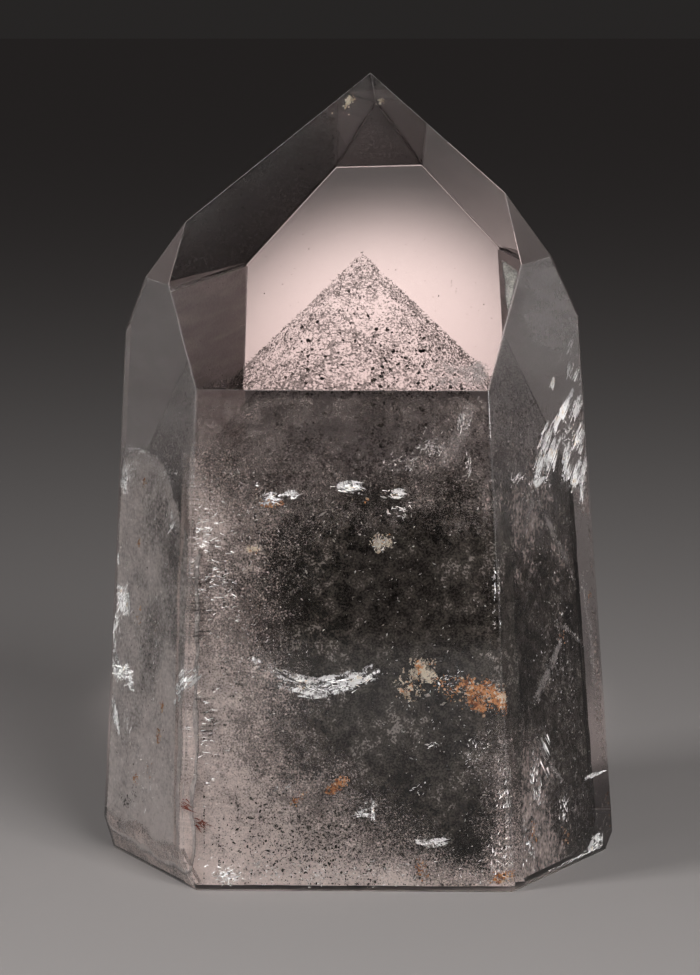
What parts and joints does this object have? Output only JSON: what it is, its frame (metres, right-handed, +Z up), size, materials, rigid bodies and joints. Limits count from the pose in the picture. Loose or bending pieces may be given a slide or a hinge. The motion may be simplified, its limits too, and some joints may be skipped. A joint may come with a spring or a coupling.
{
  "type": "phantom quartz point",
  "caption": "Clear smoky quartz point with a flat ground base and six tip faces, holding the chlorite-dusted phantom of its earlier self.",
  "frame": {"origin": "middle of the flat ground base, on the surface that the point stands on", "axes": "+Z up along the crystal's length to the tip, -Y out of the wide front face, +X to the right of it"},
  "size_m": [0.0726, 0.0604, 0.11],
  "materials": {
    "clear_quartz": "ground and polished clear quartz, faintly smoky",
    "chlorite_quartz": "quartz dusted and clouded with dark chlorite",
    "chlorite_grain": "dull grains of dark green to brown-black chlorite",
    "healed_fracture": "whitish wisps, flakes and feathers along healed cracks",
    "iron_stain": "orange-brown iron oxide on inner cracks"
  },
  "bodies": {
    "root": {"quartz_point": "clear_quartz", "phantom": "chlorite_quartz"}
  },
  "joints": []
}
